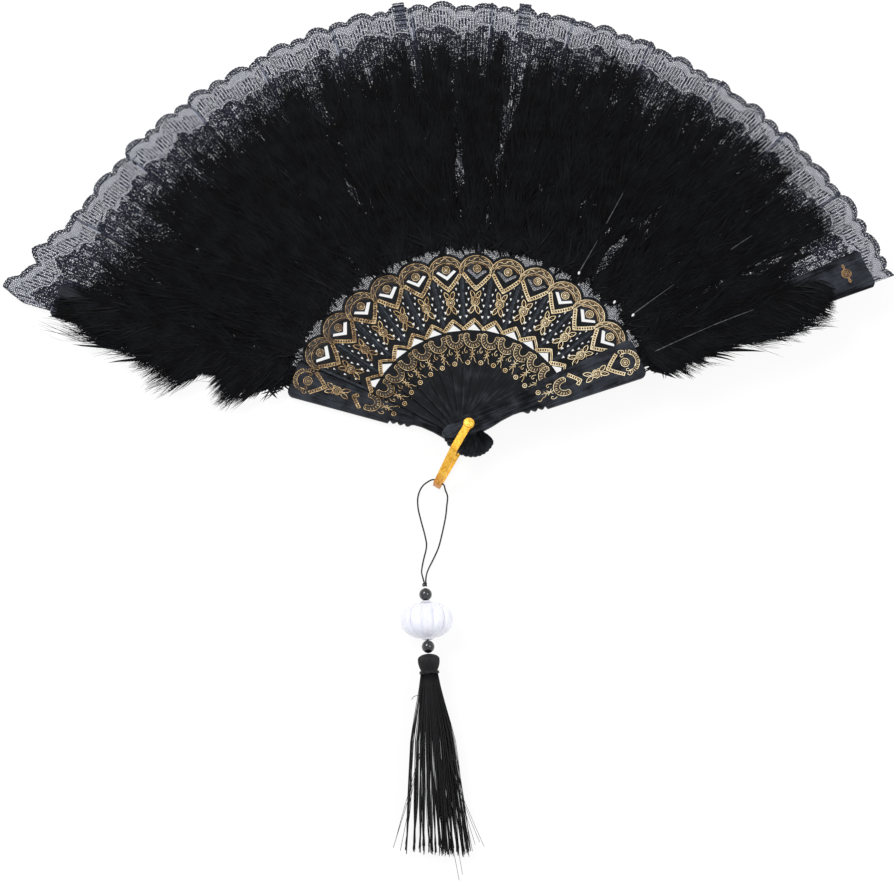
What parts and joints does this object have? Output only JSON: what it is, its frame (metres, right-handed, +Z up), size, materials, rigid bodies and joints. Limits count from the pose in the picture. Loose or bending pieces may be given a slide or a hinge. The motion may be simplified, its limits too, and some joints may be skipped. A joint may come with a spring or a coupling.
{
  "type": "folding feather fan",
  "caption": "Black folding fan with gold-printed pierced sticks, lace edge and marabou feathers, and a beaded tassel on a gilt bail.",
  "frame": {"origin": "on the rivet's axis, at the flat underside of its tail head, which rests on the table", "axes": "+X towards the front guard's side of the open fan, +Y from the rivet out along the fan's middle, +Z up along the rivet, out of the fan's face"},
  "size_m": [0.4397, 0.4248, 0.027],
  "materials": {
    "blade": "satin black, printed with gold scrolls",
    "gilt": "yellow gilt, softly cast",
    "lace": "fine black floral lace",
    "feather": "black marabou down",
    "cord": "waxed black cord",
    "black_bead": "polished black",
    "white_bead": "milky white, polished",
    "thread": "silky black thread"
  },
  "bodies": {
    "back_guard": {"back_guard": "blade", "rivet": "gilt", "feather_00": "feather"},
    "stick_01": {"stick_01": "blade", "lace_01": "lace", "feather_01": "feather"},
    "stick_02": {"stick_02": "blade", "lace_02": "lace", "feather_02": "feather"},
    "stick_03": {"stick_03": "blade", "lace_03": "lace", "feather_03": "feather"},
    "stick_04": {"stick_04": "blade", "lace_04": "lace", "feather_04": "feather"},
    "stick_05": {"stick_05": "blade", "lace_05": "lace", "feather_05": "feather"},
    "stick_06": {"stick_06": "blade", "lace_06": "lace", "feather_06": "feather"},
    "stick_07": {"stick_07": "blade", "lace_07": "lace", "feather_07": "feather"},
    "stick_08": {"stick_08": "blade", "lace_08": "lace", "feather_08": "feather"},
    "stick_09": {"stick_09": "blade", "lace_09": "lace", "feather_09": "feather"},
    "stick_10": {"stick_10": "blade", "lace_10": "lace", "feather_10": "feather"},
    "stick_11": {"stick_11": "blade", "lace_11": "lace", "feather_11": "feather"},
    "stick_12": {"stick_12": "blade", "lace_12": "lace", "feather_12": "feather"},
    "front_guard": {"front_guard": "blade", "lace_13": "lace", "feather_13": "feather"},
    "bail": {"bail": "gilt"},
    "tassel": {"cord_loop": "cord", "cord_knot": "cord", "bead_cord": "cord", "upper_bead": "black_bead", "lotus_bead": "white_bead", "lower_bead": "black_bead", "tassel_head": "thread", "tassel_binding": "thread", "tassel_skirt": "thread"}
  },
  "joints": [
    {"name": "fold_01", "type": "hinge", "parent": "back_guard", "child": "stick_01", "pos_m": [0, 0, 0], "axis": [0, 0, 1], "range_deg": [0, 10.65], "deforming": ["lace_01", "feather_00", "feather_01"]},
    {"name": "fold_02", "type": "hinge", "parent": "stick_01", "child": "stick_02", "pos_m": [0, 0, 0], "axis": [0, 0, 1], "range_deg": [0, 10.65], "deforming": ["lace_02", "feather_02"]},
    {"name": "fold_03", "type": "hinge", "parent": "stick_02", "child": "stick_03", "pos_m": [0, 0, 0], "axis": [0, 0, 1], "range_deg": [0, 10.65], "deforming": ["lace_03", "feather_03"]},
    {"name": "fold_04", "type": "hinge", "parent": "stick_03", "child": "stick_04", "pos_m": [0, 0, 0], "axis": [0, 0, 1], "range_deg": [0, 10.65], "deforming": ["lace_04", "feather_04"]},
    {"name": "fold_05", "type": "hinge", "parent": "stick_04", "child": "stick_05", "pos_m": [0, 0, 0], "axis": [0, 0, 1], "range_deg": [0, 10.65], "deforming": ["lace_05", "feather_05"]},
    {"name": "fold_06", "type": "hinge", "parent": "stick_05", "child": "stick_06", "pos_m": [0, 0, 0], "axis": [0, 0, 1], "range_deg": [0, 10.65], "deforming": ["lace_06", "feather_06"]},
    {"name": "fold_07", "type": "hinge", "parent": "stick_06", "child": "stick_07", "pos_m": [0, 0, 0], "axis": [0, 0, 1], "range_deg": [0, 10.65], "deforming": ["lace_07", "feather_07"]},
    {"name": "fold_08", "type": "hinge", "parent": "stick_07", "child": "stick_08", "pos_m": [0, 0, 0], "axis": [0, 0, 1], "range_deg": [0, 10.65], "deforming": ["lace_08", "feather_08"]},
    {"name": "fold_09", "type": "hinge", "parent": "stick_08", "child": "stick_09", "pos_m": [0, 0, 0], "axis": [0, 0, 1], "range_deg": [0, 10.65], "deforming": ["lace_09", "feather_09"]},
    {"name": "fold_10", "type": "hinge", "parent": "stick_09", "child": "stick_10", "pos_m": [0, 0, 0], "axis": [0, 0, 1], "range_deg": [0, 10.65], "deforming": ["lace_10", "feather_10"]},
    {"name": "fold_11", "type": "hinge", "parent": "stick_10", "child": "stick_11", "pos_m": [0, 0, 0], "axis": [0, 0, 1], "range_deg": [0, 10.65], "deforming": ["lace_11", "feather_11"]},
    {"name": "fold_12", "type": "hinge", "parent": "stick_11", "child": "stick_12", "pos_m": [0, 0, 0], "axis": [0, 0, 1], "range_deg": [0, 10.65], "deforming": ["lace_12", "feather_12"]},
    {"name": "fold_13", "type": "hinge", "parent": "stick_12", "child": "front_guard", "pos_m": [0, 0, 0], "axis": [0, 0, 1], "range_deg": [0, 10.65], "deforming": ["lace_13", "feather_13"]},
    {"name": "bail_swing", "type": "hinge", "parent": "back_guard", "child": "bail", "pos_m": [0, 0, 0], "axis": [0, 0, 1], "range_deg": [-45, 60]},
    {"name": "tassel_swing", "type": "hinge", "parent": "bail", "child": "tassel", "pos_m": [-0.0147, -0.025, 0.0033], "axis": [0, 0, 1], "range_deg": [-40, 35], "deforming": ["cord_loop"]}
  ],
  "couplings": [
    {"joint": "fold_02", "follows": "fold_01", "ratio": 1},
    {"joint": "fold_03", "follows": "fold_01", "ratio": 1},
    {"joint": "fold_04", "follows": "fold_01", "ratio": 1},
    {"joint": "fold_05", "follows": "fold_01", "ratio": 1},
    {"joint": "fold_06", "follows": "fold_01", "ratio": 1},
    {"joint": "fold_07", "follows": "fold_01", "ratio": 1},
    {"joint": "fold_08", "follows": "fold_01", "ratio": 1},
    {"joint": "fold_09", "follows": "fold_01", "ratio": 1},
    {"joint": "fold_10", "follows": "fold_01", "ratio": 1},
    {"joint": "fold_11", "follows": "fold_01", "ratio": 1},
    {"joint": "fold_12", "follows": "fold_01", "ratio": 1},
    {"joint": "fold_13", "follows": "fold_01", "ratio": 1}
  ]
}
